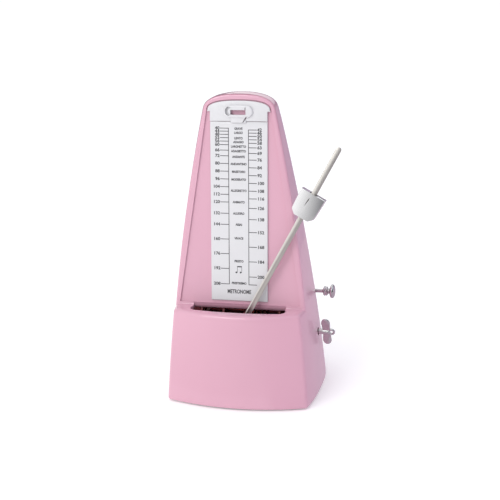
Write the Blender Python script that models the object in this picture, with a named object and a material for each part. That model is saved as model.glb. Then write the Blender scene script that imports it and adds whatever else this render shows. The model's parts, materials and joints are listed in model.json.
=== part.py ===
"""Wind-up pyramid metronome: casing, scale, pendulum, clockwork and bell.

Frame: +Z up, the scale faces -Y, and the winding key is on the +X side. The origin is the centre of
the label pad on the bottom cover's underside, level with the casing's rim. Every dimension below is
in millimetres and turned into metres by MM.
"""
import math

import bmesh
import bpy
from mathutils import Matrix, Vector

MM = 0.001
GAP = 0.3                      # clearance between pieces that touch on the real object

# Casing
CASE_HEIGHT = 222.6
SHELF_Z = 69.2                 # top of the wide base, where the pendulum slot is
WALL = 2.5
HALF_WIDTH_BASE = 54.9
HALF_WIDTH_TOP = 26.0
TOP_WIDTH_Z = 215.0            # height at which HALF_WIDTH_TOP holds
SIDE_SWELL = 4.1               # how far a side's mid-height stands outside a straight taper
FRONT_NARROWING = 2.7          # how much narrower the base is at its front corners than at its widest
FRONT_POWER = 5.0
WIDEST = (0.32, 0.19)          # where the plan is widest, from face to back, at the bottom and the top
REAR_POWER = (2.77, 2.45)      # superellipse power of the plan's rear, at the bottom and the top
BACK_Y_BASE = 59.0
BACK_SLOPE = 0.2
BACK_TOP_RADIUS = 19.0         # rounding from the top over to the back
BASE_FRONT_Y = -51.4           # front corner of the base at z = 0
BASE_FRONT_SLOPE = 6.8 / 69.2
BASE_BOW = 9.4                 # how far the base's front bows out at its middle
BASE_CORNER_RADIUS = 3.6
CORNER_STEPS = 3
LEAN = math.radians(6.89)      # the scale's lean, and the pendulum plane's
FACE_Y0 = -41.3                # the scale's plane at z = 0
ARCH_START_Z = 211.5
ARCH_POWER = 2.6

# Front face, in the leaning face frame (x, height along the face)
PANEL_RECESS = 1.3
PANEL_BOTTOM = 73.2
PANEL_TOP_HALF_WIDTH = 23.75
PANEL_BOTTOM_HALF_WIDTH = 43.5
PANEL_SHOULDER = 212.9
PLATE_THICKNESS = 1.0
PLATE_HALF_WIDTH = 21.1
PLATE_BOTTOM = 74.2
CAP_BOTTOM = 204.9
CAP_EAR_HALF_WIDTH = 23.4
CAP_EAR_HEIGHT = 212.7
CAP_TOP = 219.9
CLIP_HEIGHT = 211.0            # centre of the clip's window
SLOT_HALF_LENGTH = 35.3
SLOT_FRONT_Y = -44.0
SLOT_BACK_Y = -32.6
SLOT_BOW = 2.0                 # how far the slot's front edge bows out at its middle
SCOOP_TOP = 72.4               # where the tower's face starts to roll back into the slot
SCOOP_DEPTH = 2.3
SCOOP_DROP = 5.7
SCOOP_HALF_LENGTH = 34.6
SCOOP_STEP = 0.15              # fine step where the roll starts

# Raised pad for a rating label, in the middle of the bottom cover's underside
PAD_RISE = 0.4
PAD_HALF_LENGTH = 22.0
PAD_HALF_WIDTH = 13.0

# Pendulum, in its own frame: origin on the pivot, +Z along the rod
TILT = math.radians(28.5)
PIVOT_HEIGHT = 52.1            # pivot height along the face
PIVOT_OUT = 5.4                # distance from the scale's plane to the pendulum's plane
ROD_TOP = 154.7
ROD_BOTTOM = -46.0
ROD_HALF_WIDTH = 2.0
ROD_HALF_THICKNESS = 0.5
VERGE_RADIUS = 1.2
WEIGHT_BOTTOM = 98.2
WEIGHT_TOP = 117.0
BOB_HEIGHT = -32.0
BOB_RADIUS = 11.0

# Clockwork: all train arbors run along X
PLATE_THICK = 1.5
LEFT_PLATE_X = -30.0
CENTRE_PLATE_X = -13.5
RIGHT_PLATE_X = 28.5
KEY_Y, KEY_Z = -2.5, 41.8
KNOB_Y, KNOB_Z = 14.0, 68.2
GEAR_MODULE = 0.9
GREAT_TEETH = 48
PINION_TEETH = 8
COUNT_TEETH = 20
ESCAPE_TEETH = 15
CROWN_RADIUS = 9.0
CAM_RADIUS = 6.0
CAM_ANGLE = math.radians(60.0)  # direction from the escape arbor to the cam arbor
SPRING_TURNS = 5
BELL_RADIUS = 16.0
BELL_Y, BELL_Z = -7.0, 95.0


# ---------------------------------------------------------------- helpers

def clear_scene():
    for old in list(bpy.data.objects):
        bpy.data.objects.remove(old, do_unlink=True)


def material(name, color, roughness, metallic):
    made = bpy.data.materials.new(name)
    made.use_nodes = True
    shader = made.node_tree.nodes["Principled BSDF"]
    shader.inputs["Base Color"].default_value = (*color, 1.0)
    shader.inputs["Roughness"].default_value = roughness
    shader.inputs["Metallic"].default_value = metallic
    return made


def mix(start, end, amount):
    return start + (end - start) * amount


def add_mesh(name, points, faces, finish):
    """Makes an object from points in millimetres, welded and with its faces pointing out."""
    mesh = bpy.data.meshes.new(name)
    mesh.from_pydata([Vector(p) * MM for p in points], [], faces)
    work = bmesh.new()
    work.from_mesh(mesh)
    bmesh.ops.remove_doubles(work, verts=work.verts, dist=1e-7)
    bmesh.ops.recalc_face_normals(work, faces=work.faces)
    work.to_mesh(mesh)
    work.free()
    mesh.shade_smooth()
    mesh.set_sharp_from_angle(angle=math.radians(35))
    if finish:
        mesh.materials.append(finish)
    made = bpy.data.objects.new(name, mesh)
    bpy.context.scene.collection.objects.link(made)
    return made


def swap(axis, along, a, b):
    """A point from its place along an axis and its two other coordinates in X, Y, Z order."""
    return {"X": (along, a, b), "Y": (a, along, b), "Z": (a, b, along)}[axis]


def loft(name, rings, finish):
    """A closed solid through rings of equal length, capped at both ends."""
    count = len(rings[0])
    points = [p for ring in rings for p in ring]
    faces = []
    for level in range(len(rings) - 1):
        low, high = level * count, (level + 1) * count
        for i in range(count):
            j = (i + 1) % count
            faces.append((low + i, low + j, high + j, high + i))
    faces.append(tuple(reversed(range(count))))
    faces.append(tuple(range(len(points) - count, len(points))))
    return add_mesh(name, points, faces, finish)


def prism(name, outline, axis, start, end, finish):
    rings = [[swap(axis, along, a, b) for a, b in outline] for along in (start, end)]
    return loft(name, rings, finish)


def box(name, low, high, finish):
    outline = [(low[0], low[1]), (high[0], low[1]), (high[0], high[1]), (low[0], high[1])]
    return prism(name, outline, "Z", low[2], high[2], finish)


def circle(radius, segments, centre=(0.0, 0.0), phase=0.0):
    step = 2 * math.pi / segments
    return [(centre[0] + radius * math.cos(phase + i * step),
             centre[1] + radius * math.sin(phase + i * step)) for i in range(segments)]


def turned(name, profile, axis, centre, finish, segments=16, hollow=False):
    """A turned solid from (along, radius) points. A hollow profile is a closed loop off the axis."""
    rings = [[swap(axis, along, a, b) for a, b in circle(radius, segments, centre)]
             for along, radius in profile]
    if not hollow:
        return loft(name, rings, finish)
    points = [p for ring in rings for p in ring]
    faces = []
    for level in range(len(rings)):
        low, high = level * segments, (level + 1) % len(rings) * segments
        for i in range(segments):
            j = (i + 1) % segments
            faces.append((low + i, low + j, high + j, high + i))
    return add_mesh(name, points, faces, finish)


def boolean(target, other, operation):
    """Cuts or joins, and leaves the other object as a hidden guide."""
    other.hide_render = True
    other.display_type = "WIRE"
    step = target.modifiers.new(other.name, "BOOLEAN")
    step.operation = operation
    step.solver = "EXACT"
    step.object = other


def bore(target, axis, centre, radius, start, end, segments=16):
    drill = turned(f"{target.name}_bore_{len(target.modifiers)}", [(start, radius), (end, radius)],
                   axis, centre, None, segments)
    boolean(target, drill, "DIFFERENCE")
    return drill


def frame_empty(name, place, euler=(0.0, 0.0, 0.0), parent=None):
    empty = bpy.data.objects.new(name, None)
    bpy.context.scene.collection.objects.link(empty)
    empty.location = Vector(place) * MM
    empty.rotation_euler = euler
    empty.parent = parent
    return empty


def attach(parent, *children):
    for child in children:
        child.parent = parent


def put_origin(target, place):
    """Moves an object's origin to a place in millimetres without moving its mesh."""
    target.data.transform(Matrix.Translation(Vector(place) * -MM))
    target.location = Vector(place) * MM


# ---------------------------------------------------------------- casing shape

def share(z):
    return z / TOP_WIDTH_Z


def half_width(z):
    t = share(z)
    return mix(HALF_WIDTH_BASE, HALF_WIDTH_TOP, t) + 4 * SIDE_SWELL * t * (1 - t)


def face_y(z):
    return FACE_Y0 + z * math.tan(LEAN)


def base_corner_y(z):
    return BASE_FRONT_Y + BASE_FRONT_SLOPE * z


def back_y(z):
    over = max(0.0, min(1.0, (z - CASE_HEIGHT) / BACK_TOP_RADIUS + 1))
    return BACK_Y_BASE - BACK_SLOPE * z - BACK_TOP_RADIUS * (1 - math.sqrt(1 - over ** 2))


def widest_y(z):
    return mix(face_y(z), back_y(z), mix(*WIDEST, share(z)))


def side_x(z, y):
    """Half width in front of the widest place, where the plan narrows towards the front corner."""
    middle = widest_y(z)
    forward = (middle - y) / (middle - base_corner_y(min(z, SHELF_Z)))
    return half_width(z) - FRONT_NARROWING * max(0.0, forward) ** FRONT_POWER


def base_front(z, inset):
    """The base's bowed front and its rounded corner, from the middle to the right, as (x, y)."""
    corner = Vector((side_x(z, base_corner_y(z)) - inset, base_corner_y(z) + inset))
    ahead = Vector((side_x(z, corner.y + 4) - inset, corner.y + 4)) - corner
    back = Vector((-corner.x, -2 * BASE_BOW))
    opening = ahead.angle(back)
    reach = max(0.6, BASE_CORNER_RADIUS - inset) / math.tan(opening / 2)
    start, end = corner + back.normalized() * reach, corner + ahead.normalized() * reach
    made = [(start.x * s, corner.y - BASE_BOW * (1 - (start.x * s / corner.x) ** 2))
            for s in (0.0, 0.25, 0.5, 0.75)]
    weight = math.sin(opening / 2)
    for i in range(CORNER_STEPS + 1):
        t = i / CORNER_STEPS
        low, middle, high = (1 - t) ** 2, 2 * weight * t * (1 - t), t * t
        made.append(tuple((start * low + corner * middle + end * high) / (low + middle + high)))
    return made


def casing_ring(z, inset, base, squeeze=1.0):
    """One level of the casing's outline, with the base's bowed front or the tower's flat one."""
    tower_y, middle, back = face_y(z) + inset, widest_y(z), back_y(z) - inset
    corner_x = (side_x(z, tower_y) - inset) * squeeze
    if base:
        half = base_front(z, inset)
    else:
        half = [(corner_x * s, tower_y) for s in (0.0, 0.25, 0.5, 0.75)]
        half += [(corner_x, tower_y)] * (CORNER_STEPS + 1)
    for s in (0.0, 0.35, 0.7):
        y = mix(tower_y, middle, s)
        half.append(((side_x(z, y) - inset) * squeeze, y))
    power = 2 / mix(*REAR_POWER, share(z))
    for i in range(10):
        angle = math.radians(10 * i)
        half.append(((half_width(z) - inset) * squeeze * max(0.0, math.cos(angle)) ** power if i < 9 else 0.0,
                     mix(middle, back, math.sin(angle) ** power)))
    mirrored = [(-x, y) for x, y in reversed(half[1:-1])]
    return [(x, y, z) for x, y in half + mirrored]


def casing_solid(name, inset, bottom, finish):
    shelf, top = SHELF_Z - inset, CASE_HEIGHT - 1.4 * inset
    rings = [casing_ring(mix(bottom, shelf, s), inset, True) for s in (0.0, 0.35, 0.7, 1.0)]
    start = ARCH_START_Z - inset * 0.5
    rings += [casing_ring(mix(shelf, start, s), inset, False) for s in (0.0, 0.25, 0.5, 0.75, 1.0)]
    for s in (0.4, 0.62, 0.8, 0.92, 0.98, 1.0):
        squeeze = max(0.12, (1 - s ** ARCH_POWER) ** (1 / ARCH_POWER))
        rings.append(casing_ring(mix(start, top, s), inset, False, squeeze))
    return loft(name, rings, finish)


def arch(bottom, shoulder, top, bottom_half, shoulder_half, steps=6):
    """A tapered outline closed by a flat arch, as (x, height) points."""
    right = [(bottom_half, bottom)]
    for i in range(steps + 1):
        angle = math.pi / 2 * i / steps
        right.append((shoulder_half * math.cos(angle) ** 0.8,
                      shoulder + (top - shoulder) * math.sin(angle) ** 0.8))
    return right + [(-x, z) for x, z in reversed(right[:-1])]


def slot_outline():
    """The pendulum slot in plan: round ends, and a front edge that bows with the base."""
    radius = (SLOT_BACK_Y - SLOT_FRONT_Y) / 2
    middle_y = (SLOT_BACK_Y + SLOT_FRONT_Y) / 2
    straight = SLOT_HALF_LENGTH - radius
    outline = []
    for side, turn in ((1, -90), (-1, 90)):
        for i in range(7):
            angle = math.radians(turn + 30 * i)
            outline.append((side * straight + radius * math.cos(angle),
                            middle_y + radius * math.sin(angle)))
    front = [(straight * s, SLOT_FRONT_Y - SLOT_BOW * (1 - s * s)) for s in (-0.6, -0.2, 0.2, 0.6)]
    return outline + front


def scoop_cutter():
    """Cuts the tower's face back along the slot, so that its lower edge rolls inwards."""
    face = face_y(SCOOP_TOP)
    profile = [(face - 3.0, SCOOP_TOP)]
    for i in range(6):
        angle = math.radians(15 * i)
        profile.append((face + SCOOP_STEP + SCOOP_DEPTH * (1 - math.cos(angle)),
                        SCOOP_TOP - SCOOP_DROP * math.sin(angle)))
    depth = profile[-1][0]
    profile += [(depth, SHELF_Z - 7), (face - 3.0, SHELF_Z - 7)]
    return prism("casing_scoop", profile, "X", -SCOOP_HALF_LENGTH, SCOOP_HALF_LENGTH, None)


def make_casing(finish, face):
    casing = casing_solid("casing", 0.0, 0.0, finish)
    boolean(casing, casing_solid("casing_hollow", WALL, -1.0, None), "DIFFERENCE")
    recess = prism("casing_recess", arch(PANEL_BOTTOM, PANEL_SHOULDER, CAP_TOP + 0.3,
                                         PANEL_BOTTOM_HALF_WIDTH, PANEL_TOP_HALF_WIDTH),
                   "Y", -6.0, PANEL_RECESS, None)
    attach(face, recess)
    boolean(casing, recess, "DIFFERENCE")
    slot = prism("casing_slot", slot_outline(), "Z", SHELF_Z - 8, SHELF_Z + 1.5, None)
    boolean(casing, slot, "DIFFERENCE")
    boolean(casing, scoop_cutter(), "DIFFERENCE")
    bore(casing, "X", (KEY_Y, KEY_Z), 3.2, 40, 62)
    bore(casing, "X", (KNOB_Y, KNOB_Z), 1.9, 40, 62)
    for x, y in screw_places():
        post = turned(f"casing_post_{x:.0f}_{y:.0f}", [(2.6, 3.6), (14.0, 3.6)], "Z", (x, y), None, 12)
        boolean(casing, post, "UNION")
        bore(casing, "Z", (x, y), 1.3, 1.0, 11.0, 10)
    return casing


def screw_places():
    return [(48.3, -40.0), (-48.3, -40.0), (37.0, 39.5), (-37.0, 39.5)]


def make_bottom(cover_finish, rubber, steel):
    """The bottom cover in the casing's mouth, its four feet and its four screws."""
    inset = WALL + GAP
    cover = loft("bottom_cover", [casing_ring(PAD_RISE, inset, True), casing_ring(2.0, inset, True)],
                 cover_finish)
    pad = box("cover_label_pad", (-PAD_HALF_LENGTH, -PAD_HALF_WIDTH, 0.0),
              (PAD_HALF_LENGTH, PAD_HALF_WIDTH, 1.0), None)
    boolean(cover, pad, "UNION")
    for number, (x, y) in enumerate(screw_places(), 1):
        bore(cover, "Z", (x, y), 2.2, -1.0, 1.3, 12)
        bore(cover, "Z", (x, y), 1.3, 1.0, 3.0, 12)
        turned(f"cover_screw_{number}", [(0.5, 1.9), (1.0, 1.9), (1.0, 0.95), (9.0, 0.95)], "Z",
               (x, y), steel, 12)
    for number, (x, y) in enumerate([(33, -41), (-33, -41), (25, 42), (-25, 42)], 1):
        turned(f"foot_{number}", [(-1.2, 4.6), (-1.0, 5.0), (PAD_RISE - GAP, 5.0)], "Z", (x, y), rubber,
               16)


def make_face(white, face):
    """The scale plate and the cap with the pendulum clip, both in the leaning face frame."""
    front = PANEL_RECESS - GAP - PLATE_THICKNESS
    back = PANEL_RECESS - GAP
    plate = box("scale_plate", (-PLATE_HALF_WIDTH, front, PLATE_BOTTOM),
                (PLATE_HALF_WIDTH, back, CAP_BOTTOM - GAP), white)
    right = [(PLATE_HALF_WIDTH, CAP_BOTTOM), (PLATE_HALF_WIDTH, CAP_EAR_HEIGHT - 0.8),
             (CAP_EAR_HALF_WIDTH, CAP_EAR_HEIGHT - 0.8)]
    for i in range(6):
        angle = math.pi / 2 * i / 5
        right.append(((CAP_EAR_HALF_WIDTH - 0.6) * math.cos(angle) ** 0.8,
                      CAP_EAR_HEIGHT + (CAP_TOP - CAP_EAR_HEIGHT - 0.4) * math.sin(angle) ** 0.8))
    outline = right + [(-x, z) for x, z in reversed(right[:-1])]
    cap = prism("clip_cap", outline, "Y", front - 0.8, back, white)
    boss = prism("clip_cap_boss", [(x * 1.55, CLIP_HEIGHT + 0.6 + z * 0.7) for x, z in circle(7.0, 20)],
                 "Y", front - 2.6, front, None)
    lobe = box("clip_cap_lobe", (-5.6, front - 2.2, CAP_BOTTOM), (5.6, front, CLIP_HEIGHT - 3.0), None)
    window = box("clip_cap_window", (-5.7, -8, CLIP_HEIGHT - 1.9), (5.7, 8, CLIP_HEIGHT + 1.9), None)
    slit = prism("clip_cap_slit", [(3.0, CAP_BOTTOM - 1.0), (3.8, CAP_BOTTOM - 1.0),
                                   (6.2, CAP_BOTTOM + 2.8), (5.4, CAP_BOTTOM + 2.8)],
                 "Y", front - 4, front - 0.9, None)
    attach(face, plate, cap, boss, lobe, window, slit)
    boolean(cap, boss, "UNION")
    boolean(cap, lobe, "UNION")
    boolean(cap, window, "DIFFERENCE")
    boolean(cap, slit, "DIFFERENCE")


# ---------------------------------------------------------------- pendulum

def pivot_place():
    """The pendulum pivot's (y, z) outside the face frame."""
    return (face_y(0) - PIVOT_OUT * math.cos(LEAN) + PIVOT_HEIGHT * math.sin(LEAN),
            PIVOT_OUT * math.sin(LEAN) + PIVOT_HEIGHT * math.cos(LEAN))


def verge_z(y):
    """Height of the pendulum arbor's axis at a given y."""
    pivot_y, pivot_z = pivot_place()
    return pivot_z - (y - pivot_y) * math.tan(LEAN)


def make_pendulum(steel, chrome, brass, lead, face):
    pivot = frame_empty("pendulum_pivot", (0, -PIVOT_OUT, PIVOT_HEIGHT), (0, TILT, 0), parent=face)
    outline = [(-ROD_HALF_WIDTH, ROD_BOTTOM), (ROD_HALF_WIDTH, ROD_BOTTOM)]
    for i in range(7):
        angle = math.radians(-66 + 22 * i)
        outline.append((5.0 * math.cos(angle), 5.0 * math.sin(angle)))
    for i in range(5):
        angle = math.radians(45 * i)
        outline.append((ROD_HALF_WIDTH * math.cos(angle),
                        ROD_TOP - ROD_HALF_WIDTH + ROD_HALF_WIDTH * math.sin(angle)))
    for i in range(7):
        angle = math.radians(114 + 22 * i)
        outline.append((5.0 * math.cos(angle), 5.0 * math.sin(angle)))
    rod = prism("pendulum_rod", outline, "Y", -ROD_HALF_THICKNESS, ROD_HALF_THICKNESS, steel)
    eye = bore(rod, "Y", (0, 0), VERGE_RADIUS + GAP, -3, 3)
    collet = turned("pendulum_collet", [(0.8, 1.5), (0.8, 3.8), (2.5, 3.8), (2.5, 1.5)], "Y", (0, 0),
                    brass, 16, hollow=True)

    verge = turned("verge_arbor", [(-2.6, 1.0), (-2.3, VERGE_RADIUS), (30.0, VERGE_RADIUS), (30.4, 1.0)],
                   "Y", (0, 0), steel, 12)
    reach = CROWN_RADIUS - 0.7
    middle = (escape_place()[0] - pivot_place()[0]) / math.cos(LEAN)
    flags = []
    for side, turn in ((-1, 50.0), (1, -50.0)):
        flag = box(f"verge_flag_{side}", (-2.75, middle + side * reach - 1.0, -0.35),
                   (-0.6, middle + side * reach + 1.0, 0.35), None)
        flag.rotation_euler = (0, math.radians(turn), 0)
        flags.append(flag)
        boolean(verge, flag, "UNION")

    bob = prism("counterweight", circle(BOB_RADIUS, 20, (0, BOB_HEIGHT)), "Y", -4.0, 4.0, lead)
    bob_channel = box("counterweight_channel", (-ROD_HALF_WIDTH - GAP, -0.8, BOB_HEIGHT - 15),
                      (ROD_HALF_WIDTH + GAP, 0.8, BOB_HEIGHT + 15), None)
    boolean(bob, bob_channel, "DIFFERENCE")

    half = [(9.65, WEIGHT_TOP), (9.05, WEIGHT_BOTTOM + 3.6), (8.1, WEIGHT_BOTTOM + 2.3),
            (5.6, WEIGHT_BOTTOM)]
    weight = prism("tempo_weight", half + [(-x, z) for x, z in reversed(half)], "Y", -4.4, 4.1, chrome)
    channel = box("tempo_weight_channel", (-ROD_HALF_WIDTH - GAP, -0.8, WEIGHT_BOTTOM - 3),
                  (ROD_HALF_WIDTH + GAP, 2.2, WEIGHT_TOP + 3), None)
    boolean(weight, channel, "DIFFERENCE")
    leaf = box("weight_leaf_spring", (-1.5, 1.0, WEIGHT_BOTTOM + 2.5), (1.5, 1.6, WEIGHT_TOP - 2.5), steel)
    attach(pivot, rod, eye, collet, verge, *flags, bob, bob_channel, weight, channel, leaf)


# ---------------------------------------------------------------- clockwork

def escape_place():
    """The escape arbor's (y, z): on the pendulum arbor's line, in mesh with the great wheel."""
    reach = GEAR_MODULE * (GREAT_TEETH + PINION_TEETH) / 2
    low, high = -60.0, KEY_Y
    for _ in range(60):
        y = (low + high) / 2
        if math.hypot(y - KEY_Y, verge_z(y) - KEY_Z) > reach:
            low = y
        else:
            high = y
    return y, verge_z(y)


def cam_place():
    y, z = escape_place()
    reach = GEAR_MODULE * (COUNT_TEETH + PINION_TEETH) / 2
    return y + reach * math.cos(CAM_ANGLE), z + reach * math.sin(CAM_ANGLE)


def toothed(teeth, centre, facing, tooth_at_facing):
    """A gear outline in (y, z), with a tooth or a gap at the angle that faces its partner."""
    pitch = GEAR_MODULE * teeth / 2
    tip, root = pitch + 0.75 * GEAR_MODULE, pitch - 1.1 * GEAR_MODULE
    step = 2 * math.pi / teeth
    phase = facing if tooth_at_facing else facing + step / 2
    outline = []
    for i in range(teeth):
        middle = phase + i * step
        for offset, radius in ((-0.27, root), (-0.1, tip), (0.1, tip), (0.27, root)):
            angle = middle + offset * step
            outline.append((centre[0] + radius * math.cos(angle), centre[1] + radius * math.sin(angle)))
    return outline


def gear(name, teeth, centre, facing, tooth_at_facing, start, end, hole, finish):
    made = prism(name, toothed(teeth, centre, facing, tooth_at_facing), "X", start, end, finish)
    bore(made, "X", centre, hole, start - 2, end + 2, 12)
    put_origin(made, (0, *centre))
    return made


def movement_outline():
    """The frame plates in (y, z), cut back where the tempo weight swings past at its lowest."""
    return [(-35.5, 5.0), (24.0, 5.0), (24.0, 74.0), (-24.0, 74.0), (-33.0, 63.0), (-33.0, 56.5),
            (-35.5, 54.0)]


def make_frame_plates(steel, brass):
    escape, cam = escape_place(), cam_place()
    shafts = {"left_plate": (LEFT_PLATE_X, [(KEY_Y, KEY_Z, 2.7), (*escape, 1.3), (*cam, 1.3)]),
              "centre_plate": (CENTRE_PLATE_X, [(KEY_Y, KEY_Z, 2.7), (*escape, 1.3), (*cam, 1.3)]),
              "right_plate": (RIGHT_PLATE_X, [(KEY_Y, KEY_Z, 2.3), (*cam, 1.3),
                                              (KNOB_Y, KNOB_Z, 1.6)])}
    pillars = [(-29.0, 10.0), (19.5, 10.0), (19.5, 62.5)]
    for name, (x, holes) in shafts.items():
        plate = prism(name, movement_outline(), "X", x, x + PLATE_THICK, steel)
        for y, z, radius in holes:
            bore(plate, "X", (y, z), radius, x - 3, x + 4, 12)
        for y, z in pillars:
            bore(plate, "X", (y, z), 2.0 if name == "centre_plate" else 1.3, x - 3, x + 4, 12)
    for number, (y, z) in enumerate(pillars, 1):
        turned(f"pillar_{number}", [(LEFT_PLATE_X - 1.0, 1.0), (-28.2, 1.0), (-28.2, 2.2), (-14.2, 2.2),
                                    (-14.2, 1.7), (-11.6, 1.7), (-11.6, 2.2), (28.2, 2.2), (28.2, 1.0),
                                    (31.0, 1.0)], "X", (y, z), brass, 12)
        turned(f"pillar_nut_{number}", [(30.3, 1.3), (30.3, 2.9), (32.0, 2.9), (32.0, 1.3)], "X", (y, z),
               brass, 6, hollow=True)
    turned("spring_post", [(-11.7, 1.5), (28.2, 1.5)], "X", (KEY_Y, KEY_Z - 19.6), steel, 12)
    bridge = box("front_bridge", (CENTRE_PLATE_X, -37.4, 46.0), (RIGHT_PLATE_X + PLATE_THICK, -35.9, 56.6),
                 brass)
    bore(bridge, "Y", (0, verge_z(-36.6)), 1.6, -40, -33, 12)
    rear = box("rear_bearing", (CENTRE_PLATE_X + PLATE_THICK + GAP, -13.5, 44.5), (3.0, -11.5, 52.5), brass)
    bore(rear, "Y", (0, verge_z(-12.5)), 1.7, -16, -9, 12)


def make_winding(steel, brass, chrome, spring_steel):
    """Key, winding arbor, ratchet, click, great wheel and mainspring, all on the key's axis."""
    centre = (KEY_Y, KEY_Z)
    arbor = turned("winding_arbor", [(-31.0, 2.4), (27.6, 2.4), (27.6, 2.0), (52.1, 2.0), (52.1, 1.1),
                                     (59.5, 1.1)], "X", centre, steel)
    put_origin(arbor, (0, KEY_Y, KEY_Z))

    escape = escape_place()
    facing = math.atan2(escape[1] - KEY_Z, escape[0] - KEY_Y)
    gear("great_wheel", GREAT_TEETH, centre, facing, True, -21.5, -20.0, 2.7, brass)

    teeth = []
    for i in range(12):
        root_angle, tip_angle = math.radians(30 * i), math.radians(30 * i + 3)
        teeth.append((KEY_Y + 7.2 * math.cos(root_angle), KEY_Z + 7.2 * math.sin(root_angle)))
        teeth.append((KEY_Y + 9.2 * math.cos(tip_angle), KEY_Z + 9.2 * math.sin(tip_angle)))
    ratchet = prism("ratchet_wheel", teeth, "X", -19.4, -18.0, steel)
    bore(ratchet, "X", centre, 2.7, -22, -15, 12)
    put_origin(ratchet, (0, KEY_Y, KEY_Z))

    pin = (KEY_Y + 12.6, KEY_Z - 5.0)
    lever = [(2.4, 1.0), (0.6, 2.6), (-2.6, 8.6), (-4.6, 8.0), (-2.2, 4.4), (-2.2, -0.6), (-0.6, -2.2),
             (1.6, -1.8)]
    click = prism("click", [(pin[0] + y, pin[1] + z) for y, z in lever], "X", -19.4, -18.0, steel)
    bore(click, "X", pin, 1.2, -22, -15, 10)
    put_origin(click, (0, *pin))
    turned("click_screw", [(-19.7, 0.9), (-17.6, 0.9), (-17.6, 1.8), (-16.8, 1.8)], "X", pin, steel, 10)

    steps = SPRING_TURNS * 20
    strip = []
    for side in (1, -1):
        run = range(steps + 1) if side > 0 else reversed(range(steps + 1))
        for i in run:
            angle = math.radians(-90 + 18 * i)
            radius = mix(3.6, 17.3, i / steps) + side * 0.3
            strip.append((KEY_Y + radius * math.cos(angle), KEY_Z + radius * math.sin(angle)))
    prism("mainspring", strip, "X", 5.0, 22.0, spring_steel)
    make_key(chrome)


def make_key(chrome):
    """A folded wing key: barrel, two lobes leaning forward at the top, and the open end loop."""
    centre = (KEY_Y, KEY_Z)
    key = turned("winding_key", [(52.4, 2.15), (61.4, 2.15)], "X", centre, chrome, 16)
    lobe = []
    for i in range(9):
        angle = math.radians(22.5 * i)
        lobe.append((58.6 + 3.1 * math.cos(angle), 8.2 + 3.4 * math.sin(angle)))
    for side in (1, -1):
        outline = [(61.6, side * 0.6)] + [(x, side * z) for x, z in lobe] + [(56.2, side * 0.6)]
        wing = prism(f"winding_key_wing_{side}", outline, "Y", -0.6, 0.6, None)
        wing.location = (0, KEY_Y * MM, KEY_Z * MM)
        wing.rotation_euler = (math.radians(24), 0, 0)
        boolean(key, wing, "UNION")
    loop = turned("winding_key_loop", [(-0.8, 1.5), (-0.8, 2.9), (0.8, 2.9), (0.8, 1.5)], "Y",
                  (62.3, 0), None, 16, hollow=True)
    loop.location = (0, KEY_Y * MM, KEY_Z * MM)
    loop.rotation_euler = (math.radians(24), 0, 0)
    boolean(key, loop, "UNION")
    bore(key, "X", centre, 1.4, 50, 59.9, 12)
    put_origin(key, (0, KEY_Y, KEY_Z))


def make_escapement(steel, brass):
    """The escape arbor with its pinion, counting wheel and crown wheel."""
    place = escape_place()
    toward_key = math.atan2(KEY_Z - place[1], KEY_Y - place[0])
    arbor = turned("escape_arbor", [(-31.0, 0.9), (-3.9, 0.9)], "X", place, steel, 10)
    put_origin(arbor, (0, *place))
    gear("escape_pinion", PINION_TEETH, place, toward_key, False, -22.2, -19.3, 1.2, steel)
    gear("counting_wheel", COUNT_TEETH, place, CAM_ANGLE, True, -27.4, -26.2, 1.2, brass)
    crown = crown_wheel("crown_wheel", place, -10.4, -3.5, brass)
    bore(crown, "X", place, 1.2, -14, -7, 12)
    put_origin(crown, (0, *place))


def crown_wheel(name, centre, base_x, tip_x, finish):
    """A cup whose rim is cut into saw teeth that point along +X."""
    inner_radius, floor_x, gullet_x = CROWN_RADIUS - 1.4, base_x + 1.2, tip_x - 2.6
    step = 2 * math.pi / ESCAPE_TEETH
    rim = []
    for i in range(ESCAPE_TEETH):
        rim += [(i * step, gullet_x), ((i + 0.55) * step, tip_x), ((i + 0.66) * step, tip_x),
                ((i + 0.72) * step, gullet_x)]

    def ring(radius, along):
        return [(x if along is None else along, centre[0] + radius * math.cos(a),
                 centre[1] + radius * math.sin(a)) for a, x in rim]

    rings = [ring(CROWN_RADIUS, base_x), ring(CROWN_RADIUS, None), ring(inner_radius, None),
             ring(inner_radius, floor_x)]
    return loft(name, rings, finish)


def make_cams(steel, brass):
    """The beat-counting arbor: one cam for a bell stroke every 2, 3, 4 or 6 beats of twelve."""
    place = cam_place()
    arbor = turned("cam_arbor", [(-31.0, 0.9), (31.0, 0.9)], "X", place, steel, 10)
    put_origin(arbor, (0, *place))
    gear("cam_pinion", PINION_TEETH, place, CAM_ANGLE + math.pi, False, -27.8, -25.8, 1.2, steel)
    for number, (beats, x) in enumerate(((2, 8.0), (3, 11.0), (4, 14.0), (6, 17.0))):
        lobes = 12 // beats
        outline = []
        for i in range(lobes):
            start = 2 * math.pi * i / lobes
            width = 2 * math.pi / lobes
            for part, radius in ((0.0, 4.4), (0.5, 5.0), (0.86, CAM_RADIUS), (0.93, CAM_RADIUS),
                                 (0.97, 4.4)):
                angle = start + part * width
                outline.append((place[0] + radius * math.cos(angle), place[1] + radius * math.sin(angle)))
        cam = prism(f"cam_{beats}_beat", outline, "X", x - 0.7, x + 0.7, brass)
        bore(cam, "X", place, 1.2, x - 3, x + 3, 10)
        put_origin(cam, (0, *place))


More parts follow.
